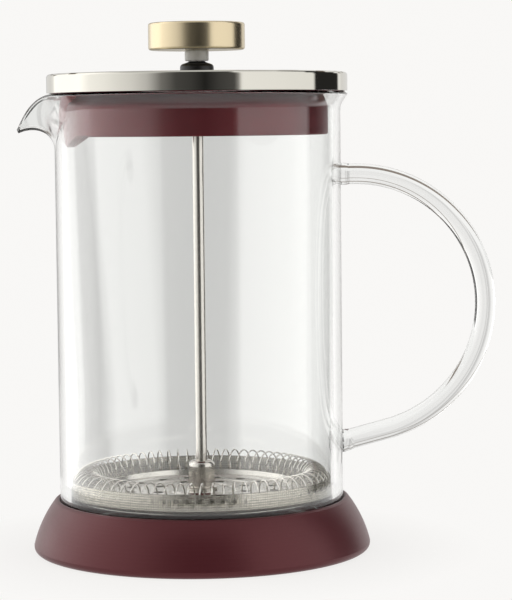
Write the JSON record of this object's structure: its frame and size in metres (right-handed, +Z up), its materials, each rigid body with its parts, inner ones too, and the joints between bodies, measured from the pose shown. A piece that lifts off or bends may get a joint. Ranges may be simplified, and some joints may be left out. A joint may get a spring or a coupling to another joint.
{
  "type": "french press",
  "caption": "Glass coffee press with bowed glass handle, pulled spout, flared soft foot, flat steel lid and a rod plunger carrying a spring-edged mesh filter.",
  "frame": {"origin": "centre of the foot's underside, on the table and on the axis of the beaker", "axes": "+Z up along the beaker's axis, +X towards the handle with the spout on -X, +Y completes a right-handed frame"},
  "size_m": [0.1679, 0.1188, 0.1849],
  "materials": {
    "foot_silicone": "matte silicone rubber, burgundy",
    "glass": "clear borosilicate glass",
    "cap_steel": "mirror-polished stainless sheet",
    "insert_plastic": "satin moulded plastic, burgundy",
    "bush_plastic": "black moulded plastic",
    "collar_plastic": "white moulded plastic",
    "knob_brass": "polished brass-coloured metal",
    "rod_steel": "polished drawn stainless rod",
    "plate_steel": "pressed stainless sheet",
    "spring_steel": "bright stainless spring wire",
    "mesh_steel": "fine woven stainless mesh"
  },
  "bodies": {
    "foot": {"base_foot": "foot_silicone"},
    "beaker": {"glass_beaker": "glass", "glass_handle": "glass"},
    "lid": {"lid_cap": "cap_steel", "lid_insert": "insert_plastic", "lid_bush": "bush_plastic", "bush_washer": "plate_steel", "bush_nut": "bush_plastic"},
    "plunger": {"plunger_rod": "rod_steel", "rod_hub": "rod_steel", "spiral_plate": "plate_steel", "filter_spring": "spring_steel", "mesh_screen": "mesh_steel"},
    "knob": {"knob": "knob_brass", "knob_collar": "collar_plastic"},
    "cross_plate": {"cross_plate": "plate_steel", "cross_nut": "rod_steel"}
  },
  "joints": [
    {"name": "beaker_lift", "type": "slide", "parent": "foot", "child": "beaker", "axis": [0, 0, 1], "range_m": [0, 0.022]},
    {"name": "lid_lift", "type": "slide", "parent": "beaker", "child": "lid", "axis": [0, 0, 1], "range_m": [0, 0.15]},
    {"name": "plunger_slide", "type": "slide", "parent": "lid", "child": "plunger", "axis": [0, 0, 1], "range_m": [0, 0.11]},
    {"name": "knob_turn", "type": "hinge", "parent": "plunger", "child": "knob", "pos_m": [0, 0, 0.18], "axis": [0, 0, 1], "continuous": true},
    {"name": "cross_plate_turn", "type": "hinge", "parent": "plunger", "child": "cross_plate", "pos_m": [0, 0, 0.0183], "axis": [0, 0, 1], "continuous": true}
  ]
}
